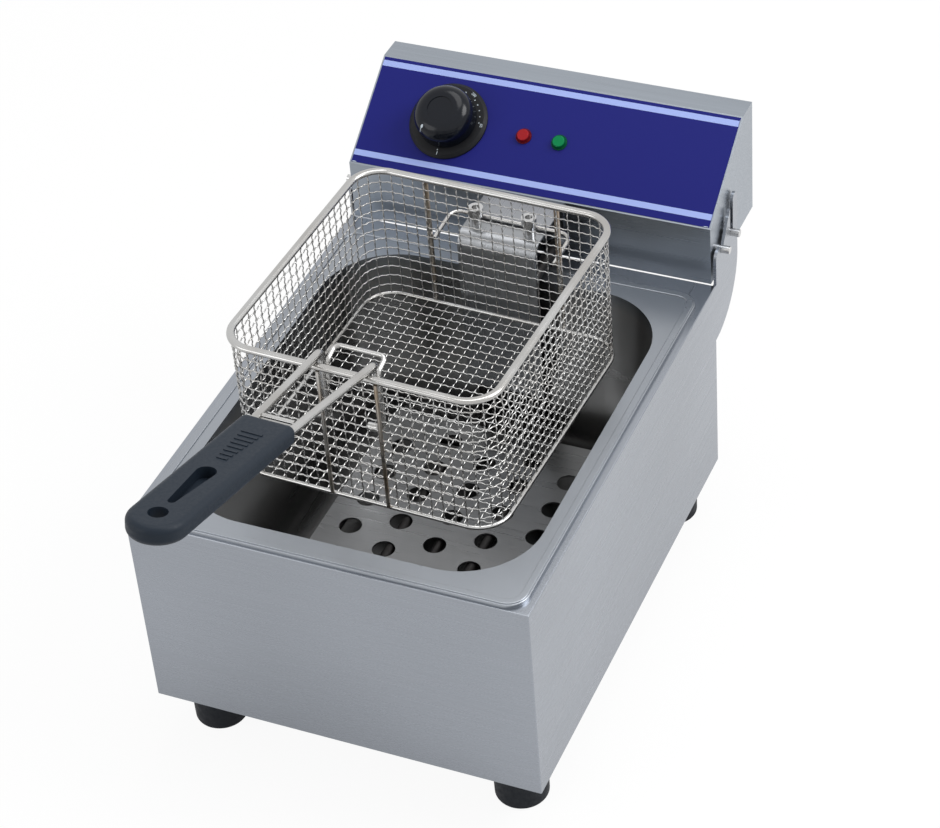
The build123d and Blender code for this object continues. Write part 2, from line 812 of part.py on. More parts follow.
def element_guard():
    line = [
        (guard_y, deck_z - guard_bottom_drop),
        (guard_y, shelf_z),
        (head_front_y, shelf_z),
        (head_front_y, shelf_z - hanger_tab_drop),
    ]
    section = sheet_section(line, guard_gauge)
    section = fillet(section.vertices().sort_by_distance((guard_y, shelf_z)).first, guard_bend)
    inside = (guard_y + guard_gauge, shelf_z - guard_gauge)
    section = fillet(section.vertices().sort_by_distance(inside).first, guard_bend - guard_gauge)
    shape = across(section, guard_offset - guard_width / 2, guard_offset + guard_width / 2)
    for x, z in rivet_places():
        shape -= hole_along_y(rivet_diameter + 2 * screw_clearance, x, head_front_y, z, 6 * guard_gauge)
    for x in peg_places():
        shape -= Pos(x, peg_y, shelf_z) * Cylinder(peg_stem_diameter / 2 + screw_clearance, 6 * guard_gauge)
    return shape


def guard_rivets():
    length = guard_gauge + head_gauge + screw_seat
    rivet = headed_pin(rivet_diameter, length, rivet_head_diameter, rivet_head_height)
    rivet += Pos(0, 0, length + rivet_head_height / 2) * Cylinder(rivet_head_diameter / 2, rivet_head_height)
    rivet = Rot(-90, 0, 0) * rivet
    return group([Pos(x, head_front_y - guard_gauge, z) * rivet for x, z in rivet_places()])


def hanger_pegs():
    # Headed studs on the shelf, each with its nut under the shelf.
    nut_top = -guard_gauge - screw_seat
    points = [
        (0, nut_top - peg_nut_height),
        (peg_nut_diameter / 2, nut_top - peg_nut_height),
        (peg_nut_diameter / 2, nut_top),
        (peg_stem_diameter / 2, nut_top),
        (peg_stem_diameter / 2, screw_seat),
        (peg_diameter / 2, screw_seat),
        (peg_diameter / 2, peg_rise - peg_head_height),
        (peg_head_diameter / 2, peg_rise - peg_head_height),
        (peg_head_diameter / 2, peg_rise),
        (peg_bore / 2, peg_rise),
        (peg_bore / 2, peg_rise - peg_bore_depth),
        (0, peg_rise - peg_bore_depth),
    ]
    return group([Pos(x, peg_y, shelf_z) * turned(points) for x in peg_places()])


def heating_element(side):
    back = riser_y - element_outer_run
    inner_back = riser_y - element_inner_run
    end_y = head_front_y + element_tail
    outer = side * element_outer_x
    inner = side * element_inner_x
    wide = side * element_loop_outer_x
    near = side * element_loop_inner_x
    points = [
        (outer, end_y, entry_z),
        (outer, riser_y, entry_z),
        (outer, riser_y, element_z),
        (outer, back, element_z),
        (wide, back, element_z),
        (wide, element_loop_front, element_z),
        (near, element_loop_front, element_z),
        (near, inner_back, element_z),
        (inner, inner_back, element_z),
        (inner, riser_y, element_z),
        (inner, riser_y, entry_z),
        (inner, end_y, entry_z),
    ]
    bend = element_bend
    small = element_inner_bend
    radii = [bend, bend, bend, bend, element_loop_bend, element_loop_bend, small, small, bend, bend]
    return bent_wire(points, tube_diameter, radii)


def element_nuts():
    ring = Cylinder(nut_diameter / 2, nut_thickness) - Cylinder(
        tube_diameter / 2 + pin_seat_clearance, nut_thickness + 1
    )
    ring = Rot(90, 0, 0) * ring
    faces = (head_front_y - nut_thickness / 2, head_front_y + head_gauge + nut_thickness / 2)
    return group([Pos(x, y, entry_z) * ring for x in element_places() for y in faces])


def thermostat_bulb():
    depth = head_gauge + thermostat_depth - capillary_inset
    end = (dial_place * Pos(thermostat_width / 2, 0, -depth)).position
    lift_y = end.Y
    rear = bulb_front + bulb_length
    points = [
        (0, rear - 1, element_z),
        (0, riser_y, element_z),
        (0, riser_y, entry_z),
        (0, lift_y, entry_z),
        (0, lift_y, end.Z),
        (end.X, lift_y, end.Z),
    ]
    tube = bent_wire(points, capillary_diameter, capillary_bend)
    return tube + rod(bulb_diameter, (0, bulb_front, element_z), (0, rear, element_z))


def element_cover():
    top = cover_z + cover_gauge
    plate = extrude(RectangleRounded(cover_width, cover_length, cover_corner), amount=cover_gauge)
    flange_length = cover_length - 2 * cover_corner
    flange = Pos(cover_width / 2 - cover_gauge / 2, 0, cover_gauge - cover_flange / 2) * Box(
        cover_gauge, flange_length, cover_flange
    )
    for side in both_sides(flange):
        plate += side
    hole = Cylinder(cover_hole_diameter / 2, 8 * cover_gauge)
    first = (cover_columns - 1) / 2
    row_first = (cover_rows - 1) / 2
    for column in range(cover_columns):
        shift = cover_pitch_y / 4 if column % 2 else -cover_pitch_y / 4
        for row in range(cover_rows):
            y = (row - row_first) * cover_pitch_y + shift
            plate -= Pos((column - first) * cover_pitch_x, y, 0) * hole
    return Pos(0, cover_rear_y - cover_length / 2, top - cover_gauge) * plate


def cable_gland():
    nut = gland_nut_diameter / 2
    bore = gland_bore / 2
    points = [
        (bore, -gland_inner - head_gauge),
        (nut, -gland_inner - head_gauge),
        (nut, -head_gauge),
        (gland_neck_diameter / 2, -head_gauge),
        (gland_neck_diameter / 2, 0),
        (nut, 0),
        (nut, gland_reach * 0.5),
        (nut - 3.0, gland_reach),
        (bore, gland_reach),
    ]
    return Pos(gland_x, back_y, deck_z + gland_rise) * Rot(-90, 0, 0) * turned(points)


def reset_place():
    return Pos(reset_x, back_y, deck_z + reset_rise) * Rot(-90, 0, 0)


def reset_button():
    low = reset_button_gap - reset_stem_length
    radius = reset_button_diameter / 2
    stem = reset_stem_diameter / 2
    top = reset_button_gap + reset_button_length
    points = [
        (0, low),
        (stem, low),
        (stem, reset_button_gap),
        (radius, reset_button_gap),
        (radius, top - 1.0),
        (radius - 1.0, top),
        (0, top),
    ]
    return reset_place() * turned(points)


def reset_bezel():
    inner = reset_button_diameter / 2 + reset_clearance
    outer = reset_bezel_diameter / 2
    points = [(inner, 0), (outer, 0), (outer - 1.0, reset_bezel_height), (inner, reset_bezel_height)]
    return reset_place() * turned(points)


def cutout_body():
    outer = cutout_diameter / 2
    bore = reset_stem_diameter / 2 + shaft_clearance
    points = [(bore, -head_gauge), (outer, -head_gauge), (outer, -head_gauge - cutout_length)]
    floor = -head_gauge - reset_stem_length - 4.0
    points = [*points, (0, -head_gauge - cutout_length), (0, floor), (bore, floor)]
    return reset_place() * turned(points)


def terminal_block():
    width, depth, height = terminal_size
    body = Box(width, depth, height)
    pitch = width / terminal_ways
    for way in range(terminal_ways):
        bore = Pos((way - (terminal_ways - 1) / 2) * pitch, 0, height / 2 - terminal_bore_depth / 2)
        body -= bore * Cylinder(terminal_bore / 2, terminal_bore_depth)
    seat = apron_z + head_gauge
    return Pos(terminal_x, head_front_y + terminal_inset + depth / 2, seat + height / 2) * body


def micro_switch():
    width, depth, height = switch_size
    body = Box(width, depth, height)
    plunger = Cylinder(switch_plunger_diameter / 2, switch_plunger_height)
    body += Pos(width / 4, 0, height / 2 + switch_plunger_height / 2) * plunger
    seat = apron_z + head_gauge
    return Pos(switch_x, head_front_y + switch_inset + depth / 2, seat + height / 2) * body


def net(width, height):
    # A flat net as one holed face, carried to the thickness of its wire.
    columns = round((width - basket_wire) / basket_mesh_pitch)
    rows = round((height - basket_wire) / basket_mesh_pitch)
    pitch_x = (width - basket_wire) / columns
    pitch_y = (height - basket_wire) / rows
    gap = Rectangle(pitch_x - basket_wire, pitch_y - basket_wire).wire()
    places = GridLocations(pitch_x, pitch_y, columns, rows)
    face = Face(Rectangle(width, height).wire(), [place * gap for place in places])
    return Pos(0, 0, -basket_wire / 2) * extrude(face, amount=basket_wire, dir=(0, 0, 1))


def wall_band():
    # Lowest and highest edge of the wall nets, between the two rims.
    low = floor_rim_z + basket_floor_diameter / 2 + basket_weld_gap
    high = rim_z - basket_rim_height / 2 - basket_weld_gap
    return low, high


def wall_net(across_x, at):
    low, high = wall_band()
    straight = (basket_width if across_x else basket_length) - 2 * basket_corner - 2 * basket_weld_gap
    sheet = Rot(90, 0, 0) * net(straight, high - low)
    if across_x:
        return Pos(0, at, (low + high) / 2) * sheet
    return Pos(at, basket_y, (low + high) / 2) * Rot(0, 0, 90) * sheet


def floor_net():
    inset = basket_floor_diameter / 2 + basket_weld_gap
    width = basket_width - 2 * inset
    length = basket_length - 2 * inset
    sheet = net(width, length)
    outline = RectangleRounded(width, length, basket_corner - inset)
    sheet &= extrude(Pos(0, 0, -basket_wire) * outline, amount=2 * basket_wire)
    return Pos(0, basket_y, floor_rim_z) * sheet


def corner_nets():
    low, high = wall_band()
    low += basket_weld_gap / 2
    high -= basket_weld_gap / 2
    rows = round((high - low - basket_wire) / basket_mesh_pitch)
    pitch = (high - low - basket_wire) / rows
    columns = 4
    step = 90 / columns
    outer = basket_corner + basket_wire / 2
    ring = Circle(outer) - Circle(basket_corner - basket_wire / 2)
    shell = extrude(ring & Pos(outer, outer) * Rectangle(2 * outer, 2 * outer), amount=high - low)
    chord = radians(step) * basket_corner - basket_wire
    windows = []
    for column in range(columns):
        turn = Rot(0, 0, step * (column + 0.5))
        for row in range(rows):
            window = Box(4 * basket_wire, chord, pitch - basket_wire)
            windows.append(turn * Pos(basket_corner, 0, basket_wire / 2 + (row + 0.5) * pitch) * window)
    shell -= windows
    x = basket_width / 2 - basket_corner
    y = basket_length / 2 - basket_corner
    places = [(x, y, 0), (-x, y, 90), (-x, -y, 180), (x, -y, 270)]
    return group([Pos(px, basket_y + py, low) * Rot(0, 0, angle) * shell for px, py, angle in places])


def stays(diameter, middle, spacing, wall_y, outward):
    # Upright wires outside a wall, from the rim down to the floor rim.
    low, high = wall_band()
    offset = basket_wire / 2 + diameter / 2 + basket_weld_gap
    y = wall_y + outward * offset
    places = (middle - spacing / 2, middle + spacing / 2)
    return group([rod(diameter, (x, y, low), (x, y, high)) for x in places])


def basket_hook():
    start_y = rear_wall_y + basket_wire / 2 + 4 * basket_weld_gap
    half = (stay_spacing - stay_diameter - hook_diameter) / 2 - basket_weld_gap
    points = [
        (-half, start_y, hook_z),
        (-half, bar_y, bar_z),
        (half, bar_y, bar_z),
        (half, start_y, hook_z),
    ]
    return bent_wire(points, hook_diameter, hook_bend)


def handle_staple():
    room = handle_rod_diameter / 2 + staple_diameter / 2 + staple_gap
    left = -staple_left
    right = handle_rod_spacing / 2 + room
    leg_y = front_wall_y + basket_rim_width / 2 + staple_diameter / 2 + basket_weld_gap
    inner_y = front_wall_y + handle_inset + room
    top_z = rim_z + staple_rise
    low_z = rim_z - staple_drop
    knee_z = rim_z + basket_rim_height / 2
    points = [
        (left, leg_y, low_z),
        (left, leg_y, knee_z),
        (left, inner_y, top_z),
        (right, inner_y, top_z),
        (right, leg_y, knee_z),
        (right, leg_y, low_z),
    ]
    return bent_wire(points, staple_diameter, staple_bend)


def handle_line(forward):
    # Height of the rod centre at a distance in front of the front wall.
    rest = (basket_rim_height / 2 + handle_rod_diameter / 2 + handle_rest_gap) / cos(radians(handle_slope))
    return rim_z + rest + forward * tan(radians(handle_slope))


def handle_spread(forward):
    # Half the distance between the rods at a distance in front of the front wall.
    share = (forward + handle_inset) / (handle_reach + handle_inset)
    return (handle_rod_spacing + share * (handle_root_spacing - handle_rod_spacing)) / 2


def grip_plane():
    # Origin at the middle of the grip's root, X across, Y towards the tip, Z up from its face.
    slope = radians(handle_slope)
    return Plane(
        origin=(0, front_wall_y - handle_reach, handle_line(handle_reach)),
        x_dir=(-1, 0, 0),
        z_dir=(0, sin(slope), cos(slope)),
    )


def grip_place():
    return grip_plane().location * Rot(0, 0, -grip_skew)


def handle_rod(side):
    leg_y = front_wall_y + handle_inset
    top_z = handle_line(-handle_inset)
    low_z = rim_z - handle_leg
    near = side * handle_spread(-handle_inset)
    bury = handle_reach + grip_socket_depth * cos(radians(handle_slope))
    points = [
        (near - handle_toe, leg_y, low_z),
        (near, leg_y, low_z),
        (near, leg_y, top_z),
        (side * handle_spread(handle_reach), front_wall_y - handle_reach, handle_line(handle_reach)),
        (side * handle_spread(handle_reach), front_wall_y - bury, handle_line(bury)),
    ]
    return bent_wire(points, handle_rod_diameter, [handle_toe_bend, handle_bend, 4 * handle_rod_diameter])


def cross_wire():
    forward = handle_reach - cross_wire_offset
    half = handle_spread(forward) - handle_rod_diameter / 2 - basket_weld_gap
    y = front_wall_y - forward
    return rod(cross_wire_diameter, (-half, y, handle_line(forward)), (half, y, handle_line(forward)))


def handle_grip():
    tip = grip_tip_width / 2
    root = grip_root_width / 2 - grip_root_radius
    end = Pos(0, grip_length - tip) * Circle(tip)
    corners = [Pos(x, grip_root_radius) * Circle(grip_root_radius) for x in (-root, root)]
    outline = make_hull([edge for shape in (end, *corners) for edge in shape.edges()])
    body = extrude(Pos(0, 0, -grip_thickness / 2) * outline, amount=grip_thickness)
    rims = body.edges().group_by(Axis.Z)
    body = fillet(rims[0] + rims[-1], grip_edge_radius)
    hole_y = grip_length - tip
    body -= Pos(0, hole_y, 0) * Cylinder(grip_hole_diameter / 2, 2 * grip_thickness)
    wide = Pos(0, grip_recess_start) * Circle(grip_recess_wide / 2)
    narrow = Pos(0, grip_recess_end) * Circle(grip_recess_narrow / 2)
    recess = make_hull([*wide.edges(), *narrow.edges()])
    body -= extrude(Pos(0, 0, grip_thickness / 2 - grip_recess_depth) * recess, amount=grip_thickness)
    for index in range(grip_rib_count):
        y = grip_rib_first + index * grip_rib_pitch
        length = grip_rib_long + (grip_rib_short - grip_rib_long) * index / (grip_rib_count - 1)
        rib = Box(length, grip_rib_width, 2 * grip_rib_height)
        body += Pos(0, y, grip_thickness / 2) * rib
    body = grip_place() * body
    for side in (-1, 1):
        x = side * handle_spread(handle_reach)
        start = Vector(x, front_wall_y - handle_reach, handle_line(handle_reach))
        slope = radians(handle_slope)
        along = Vector(0, -cos(slope), sin(slope))
        bore = handle_rod_diameter + 2 * grip_socket_clearance
        mouth = start - along * 4 * handle_rod_diameter
        body -= rod(bore, mouth, start + along * (grip_socket_depth + seat_gap))
    return body


parts = {
    "casing_shell": casing_shell(),
    "base_plate": base_plate(),
    "back_panel": back_panel(),
    "foot_screws": foot_screws(),
    "base_screws": base_screws(),
    "pan": pan(),
    "hinge_bracket_right": hinge_bracket(),
    "hinge_bracket_left": mirror(hinge_bracket(), Plane.YZ),
    "bracket_screws": bracket_screws(),
    "head_cover": head_cover(),
    "head_back_panel": head_back_panel(),
    "cover_screws": cover_screws(),
    "panel_film": panel_film(),
    "dial_skirt": dial_skirt(),
    "knob": knob(),
    "thermostat_shaft": thermostat_shaft(),
    "thermostat_body": thermostat_body(),
    "thermostat_bulb": thermostat_bulb(),
    "lamp_lens_red": lamp_lens(lamp_red_x),
    "lamp_lens_green": lamp_lens(lamp_green_x),
    "lamp_body_red": lamp_body(lamp_red_x),
    "lamp_body_green": lamp_body(lamp_green_x),
    "pivot_pins": pins("pivot"),
    "guide_pins": pins("guide"),
    "element_guard": element_guard(),
    "guard_rivets": guard_rivets(),
    "hanger_pegs": hanger_pegs(),
    "heating_element_left": heating_element(-1),
    "heating_element_right": heating_element(1),
    "element_nuts": element_nuts(),
    "element_cover": element_cover(),
    "cable_gland": cable_gland(),
    "reset_button": reset_button(),
    "reset_bezel": reset_bezel(),
    "cutout_body": cutout_body(),
    "terminal_block": terminal_block(),
    "micro_switch": micro_switch(),
}
for foot_name, foot_place in foot_places().items():
    parts[foot_name] = foot(foot_place)

hung_parts = {
    "basket_rim": rim_ring(),
    "basket_floor_rim": wire_ring(basket_floor_diameter, floor_rim_z),
    "basket_net_front": wall_net(True, front_wall_y),
    "basket_net_back": wall_net(True, rear_wall_y),
    "basket_net_left": wall_net(False, -basket_width / 2),
    "basket_net_right": wall_net(False, basket_width / 2),
    "basket_net_corners": corner_nets(),
    "basket_net_floor": floor_net(),
    "basket_hook": basket_hook(),
    "basket_rear_stays": stays(stay_diameter, 0, stay_spacing, rear_wall_y, 1),
    "basket_front_stays": stays(
        front_stay_diameter, front_stay_offset, front_stay_spacing, front_wall_y, -1
    ),
    "handle_staple": handle_staple(),
    "handle_rods": group([handle_rod(-1), handle_rod(1)]),
    "handle_cross_wire": cross_wire(),
    "handle_grip": handle_grip(),
}
for hung_name, hung_shape in hung_parts.items():
    aside = handle_offset if hung_name.startswith("handle") else 0
    parts[hung_name] = hang * Pos(aside, 0, 0) * hung_shape

front_end = parts["handle_grip"].bounding_box().min.Y
rear_end = parts["cable_gland"].bounding_box().max.Y
to_origin = Pos(0, -(front_end + rear_end) / 2, 0)

os.makedirs("parts", exist_ok=True)
for part_name, part_shape in parts.items():
    export_step(to_origin * part_shape, f"parts/{part_name}.step")


def report_place(name, point):
    print(name, [round(value, 3) for value in (to_origin * Pos(*point)).position])


hole_place = Pos(0, grip_length - grip_tip_width / 2, 0)
hang_hole = hang * Pos(handle_offset, 0, 0) * grip_place() * hole_place
report_place("pivot axis", (0, hinge_y, hinge_z))
report_place("dial centre", dial_place.position)
report_place("hang hole", hang_hole.position)
report_place("gland bore", (gland_x, back_y, deck_z + gland_rise))
report_place("pan flange front", (0, pan_front_gap + pan_front_ledge / 2, flange_z))
report_place("reset button", (reset_x, back_y, deck_z + reset_rise))
report_place("pan centre", (0, pan_centre_y, pan_floor_z))
report_place("basket centre", (0, basket_y, floor_rim_z))
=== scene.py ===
import json
import math
import bpy
import numpy as np
from mathutils import Matrix, Vector


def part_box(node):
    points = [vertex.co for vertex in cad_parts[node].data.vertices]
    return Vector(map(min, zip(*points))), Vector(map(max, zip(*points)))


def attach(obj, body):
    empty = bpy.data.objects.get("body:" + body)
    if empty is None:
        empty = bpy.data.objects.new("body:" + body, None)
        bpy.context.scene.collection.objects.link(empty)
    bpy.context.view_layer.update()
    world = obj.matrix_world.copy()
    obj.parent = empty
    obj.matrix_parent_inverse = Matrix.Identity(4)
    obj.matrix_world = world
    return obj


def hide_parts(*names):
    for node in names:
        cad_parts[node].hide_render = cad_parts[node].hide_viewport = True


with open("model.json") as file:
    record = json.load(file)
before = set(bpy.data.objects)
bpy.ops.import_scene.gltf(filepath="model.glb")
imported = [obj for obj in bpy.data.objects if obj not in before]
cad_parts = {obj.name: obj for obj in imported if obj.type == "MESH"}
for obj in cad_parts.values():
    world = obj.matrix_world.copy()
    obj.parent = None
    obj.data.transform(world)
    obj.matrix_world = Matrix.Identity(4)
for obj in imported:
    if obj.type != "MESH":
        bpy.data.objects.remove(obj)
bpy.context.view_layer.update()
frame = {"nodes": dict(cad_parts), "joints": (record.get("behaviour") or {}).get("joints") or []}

nodes = frame["nodes"]
print("frame loaded:", len(nodes), "nodes")


# shader helpers: each takes and gives sockets

def spreadNode(tree, source, fromSpan, toSpan=(0, 1)):
    spread = tree.nodes.new("ShaderNodeMapRange")
    spread.inputs["From Min"].default_value = fromSpan[0]
    spread.inputs["From Max"].default_value = fromSpan[1]
    spread.inputs["To Min"].default_value = toSpan[0]
    spread.inputs["To Max"].default_value = toSpan[1]
    tree.links.new(source, spread.inputs["Value"])
    return spread.outputs["Result"]


def rampNode(tree, source, stops):
    # a list of (place, colour) from low to high, with places between 0 and 1
    ramp = tree.nodes.new("ShaderNodeValToRGB")
    marks = ramp.color_ramp.elements
    while len(marks) < len(stops):
        marks.new(0.5)
    for mark, (place, colour) in zip(marks, stops):
        mark.position = place
        mark.color = (*colour, 1)
    tree.links.new(source, ramp.inputs["Fac"])
    return ramp.outputs["Color"]


def mathNode(tree, operation, *terms):
    node = tree.nodes.new("ShaderNodeMath")
    node.operation = operation
    for socket, term in zip(node.inputs, terms):
        if isinstance(term, float):
            socket.default_value = term
        else:
            tree.links.new(term, socket)
    return node.outputs[0]


def blendShaders(tree, share, first, second, outputName):
    blend = tree.nodes.new("ShaderNodeMixShader")
    tree.links.new(share, blend.inputs["Fac"])
    tree.links.new(first, blend.inputs[1])
    tree.links.new(second, blend.inputs[2])
    tree.links.new(blend.outputs[0], tree.nodes[outputName].inputs["Surface"])


# materials

even = (1, 1, 1)  # stretch of a noise with no grain direction
noiseSpan = (0.3, 0.7)  # the part of the noise that is used
reliefDepth = 0.0002


def newMaterial(name, colour, metallic=0.0, gloss=0.5):
    mat = bpy.data.materials.new(name)
    mat.use_nodes = True
    shader = mat.node_tree.nodes["Principled BSDF"]
    shader.inputs["Base Color"].default_value = (*colour, 1)
    shader.inputs["Metallic"].default_value = metallic
    shader.inputs["Specular IOR Level"].default_value = gloss
    return mat


def noiseNode(tree, scale, stretch, detail):
    coords = tree.nodes.new("ShaderNodeTexCoord")
    mapping = tree.nodes.new("ShaderNodeMapping")
    mapping.inputs["Scale"].default_value = stretch
    noise = tree.nodes.new("ShaderNodeTexNoise")
    noise.inputs["Scale"].default_value = scale
    noise.inputs["Detail"].default_value = detail
    tree.links.new(coords.outputs["Object"], mapping.inputs["Vector"])
    tree.links.new(mapping.outputs["Vector"], noise.inputs["Vector"])
    return noise.outputs["Fac"]


def addGrain(mat, scale, stretch, roughness, bump=0.0, detail=3.0):
    # roughness wanders between two values along the grain, with a fine bump
    tree = mat.node_tree
    shader = tree.nodes["Principled BSDF"]
    noise = noiseNode(tree, scale, stretch, detail)
    tree.links.new(spreadNode(tree, noise, noiseSpan, roughness), shader.inputs["Roughness"])
    if bump:
        relief = tree.nodes.new("ShaderNodeBump")
        relief.inputs["Strength"].default_value = bump
        relief.inputs["Distance"].default_value = reliefDepth
        tree.links.new(noise, relief.inputs["Height"])
        tree.links.new(relief.outputs["Normal"], shader.inputs["Normal"])


def addTint(mat, colourA, colourB, scale, low=0.4, high=0.65, detail=2.0):
    # two colours in soft patches
    tree = mat.node_tree
    noise = noiseNode(tree, scale, even, detail)
    colour = rampNode(tree, noise, [(low, colourA), (high, colourB)])
    tree.links.new(colour, tree.nodes["Principled BSDF"].inputs["Base Color"])


def addDepth(mat, stops, along=(0, 0, 1)):
    # colour by height along a direction: a list of (height, colour) from low to high
    tree = mat.node_tree
    coords = tree.nodes.new("ShaderNodeTexCoord")
    height = tree.nodes.new("ShaderNodeVectorMath")
    height.operation = "DOT_PRODUCT"
    height.inputs[1].default_value = along
    tree.links.new(coords.outputs["Object"], height.inputs[0])
    low = stops[0][0]
    high = stops[-1][0]
    span = spreadNode(tree, height.outputs["Value"], (low, high))
    places = [((level - low) / (high - low), colour) for level, colour in stops]
    colour = rampNode(tree, span, places)
    tree.links.new(colour, tree.nodes["Principled BSDF"].inputs["Base Color"])


def addBrush(mat, stretch, streak=0.03, cloud=0.05):
    # lighter and darker steel: fine streaks along the grain, over broad soft clouds
    tree = mat.node_tree
    base = tree.nodes["Principled BSDF"].inputs["Base Color"]
    shade = tree.nodes.new("ShaderNodeVectorMath")
    shade.operation = "SCALE"
    if base.links:
        tree.links.new(base.links[0].from_socket, shade.inputs[0])
    else:
        shade.inputs[0].default_value = base.default_value[:3]
    streaks = noiseNode(tree, 9.0, stretch, 4.0)
    clouds = noiseNode(tree, 6.0, even, 1.0)
    layers = [spreadNode(tree, noise, noiseSpan, (1 - amount, 1 + amount))
              for noise, amount in ((streaks, streak), (clouds, cloud))]
    tree.links.new(mathNode(tree, "MULTIPLY", *layers), shade.inputs["Scale"])
    tree.links.new(shade.outputs["Vector"], base)


casingSteel = newMaterial("casing steel", (0.315, 0.335, 0.37), 1.0)
addGrain(casingSteel, 6.0, (1.5, 1.5, 260), (0.24, 0.34), 0.025)
addBrush(casingSteel, (0.7, 0.7, 260))
headSteel = newMaterial("head steel", (0.305, 0.335, 0.375), 1.0)
addGrain(headSteel, 6.0, (1.5, 40, 220), (0.26, 0.36), 0.025)
addBrush(headSteel, (0.7, 50, 260))
panSteelPaintedShade = newMaterial("pan steel with painted shade", (0.3, 0.31, 0.33), 1.0)
addGrain(panSteelPaintedShade, 4.0, (2, 2, 12), (0.26, 0.34))
# colour by height inside the pan: painted shade, darkest at the floor under the element cover, and
# painted light on the inner walls, which are lighter than the rim
addDepth(panSteelPaintedShade, [
    (0.045, (0.04, 0.04, 0.04)),
    (0.058, (0.22, 0.22, 0.22)),
    (0.075, (0.43, 0.43, 0.43)),
    (0.100, (0.47, 0.47, 0.465)),
    (0.184, (0.45, 0.45, 0.45)),
    (0.194, (0.31, 0.33, 0.36)),
])
addBrush(panSteelPaintedShade, (1, 1, 3), 0.02)
# darker than the casing steel: painted shade for the shadow under the basket
plateSteelPaintedShade = newMaterial("plate steel with painted shade", (0.27, 0.274, 0.28), 1.0)
addGrain(plateSteelPaintedShade, 5.0, (2, 120, 2), (0.26, 0.36), 0.03)
addBrush(plateSteelPaintedShade, (0.8, 200, 1), 0.02)
guardSteel = newMaterial("guard steel", (0.34, 0.35, 0.365), 1.0)
addGrain(guardSteel, 6.0, (200, 3, 3), (0.26, 0.34), 0.015)
addBrush(guardSteel, (240, 0.8, 0.8), 0.015)
wireNickel = newMaterial("wire nickel", (0.5, 0.5, 0.495), 1.0)
addGrain(wireNickel, 60.0, even, (0.20, 0.28))
addTint(wireNickel, (0.5, 0.5, 0.495), (0.43, 0.42, 0.405), 22.0)
stayNickel = newMaterial("stay nickel", (0.5, 0.45, 0.38), 1.0)
addGrain(stayNickel, 90.0, even, (0.22, 0.40))
addTint(stayNickel, (0.54, 0.52, 0.49), (0.36, 0.29, 0.22), 35.0)
brightSteel = newMaterial("bright steel", (0.55, 0.55, 0.55), 1.0)
addGrain(brightSteel, 120.0, even, (0.14, 0.28))
elementSteel = newMaterial("element steel", (0.04, 0.038, 0.038), 1.0)
addGrain(elementSteel, 60.0, even, (0.45, 0.65), 0.1)
blackRubber = newMaterial("black rubber", (0.006, 0.008, 0.012), gloss=0.22)
addGrain(blackRubber, 300.0, even, (0.45, 0.65), 0.15)
blackPlastic = newMaterial("black plastic", (0.004, 0.0055, 0.0095), gloss=0.24)
addGrain(blackPlastic, 400.0, even, (0.12, 0.20), 0.04)
dialPlastic = newMaterial("dial plastic", (0.007, 0.0075, 0.009), gloss=0.22)
addGrain(dialPlastic, 400.0, even, (0.40, 0.55), 0.05)
gripPlastic = newMaterial("grip plastic", (0.0105, 0.017, 0.027), gloss=0.22)
addGrain(gripPlastic, 500.0, even, (0.42, 0.56), 0.12)
filmBlue = newMaterial("film blue", (0.011, 0.0135, 0.152), gloss=0.12)
addGrain(filmBlue, 700.0, even, (0.38, 0.48), 0.04)
stripeBlue = newMaterial("stripe blue", (0.33, 0.41, 0.76), gloss=0.15)
addGrain(stripeBlue, 700.0, even, (0.38, 0.48))
printWhite = newMaterial("print white", (0.62, 0.70, 0.76), gloss=0.3)
addGrain(printWhite, 700.0, even, (0.45, 0.6))
redLens = newMaterial("red lens", (0.25, 0.008, 0.012), gloss=0.12)
greenLens = newMaterial("green lens", (0.002, 0.165, 0.05), gloss=0.12)
for lens in (redLens, greenLens):
    addGrain(lens, 300.0, even, (0.05, 0.10))
innerPlastic = newMaterial("inner plastic", (0.6, 0.58, 0.52))
addGrain(innerPlastic, 300.0, even, (0.45, 0.6))

nodeFinish = {
    casingSteel: ["casing_shell", "back_panel", "base_plate", "hinge_bracket_left",
                  "hinge_bracket_right"],
    headSteel: ["head_cover", "head_back_panel"],
    panSteelPaintedShade: ["pan"],
    plateSteelPaintedShade: ["element_cover"],
    guardSteel: ["element_guard"],
    blackRubber: ["foot_front_left", "foot_front_right", "foot_rear_left", "foot_rear_right"],
    brightSteel: ["foot_screws", "base_screws", "bracket_screws", "cover_screws", "guard_rivets",
                  "hanger_pegs", "pivot_pins", "guide_pins", "element_nuts", "thermostat_shaft"],
    filmBlue: ["panel_film"],
    dialPlastic: ["dial_skirt"],
    blackPlastic: ["knob", "cable_gland", "reset_bezel", "reset_button"],
    redLens: ["lamp_lens_red"],
    greenLens: ["lamp_lens_green"],
    innerPlastic: ["lamp_body_red", "lamp_body_green", "cutout_body", "micro_switch",
                   "terminal_block", "thermostat_body"],
    elementSteel: ["heating_element_left", "heating_element_right", "thermostat_bulb"],
    wireNickel: ["basket_rim", "basket_floor_rim", "basket_hook", "handle_staple", "handle_rods",
                 "handle_cross_wire"],
    stayNickel: ["basket_rear_stays", "basket_front_stays"],
    gripPlastic: ["handle_grip"],
}
for mat, names in nodeFinish.items():
    for name in names:
        mesh = nodes[name].data
        mesh.materials.clear()
        mesh.materials.append(mat)
print("materials set on the frame")


# helpers for new pieces

def addMesh(name, verts, faces, mat, body, smooth=True):
    mesh = bpy.data.meshes.new(name)
    mesh.from_pydata([tuple(v) for v in verts], [], faces)
    mesh.materials.append(mat)
    if smooth:
        mesh.polygons.foreach_set("use_smooth", [True] * len(mesh.polygons))
    obj = bpy.data.objects.new(name, mesh)
    bpy.context.collection.objects.link(obj)
    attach(obj, body)
    return obj


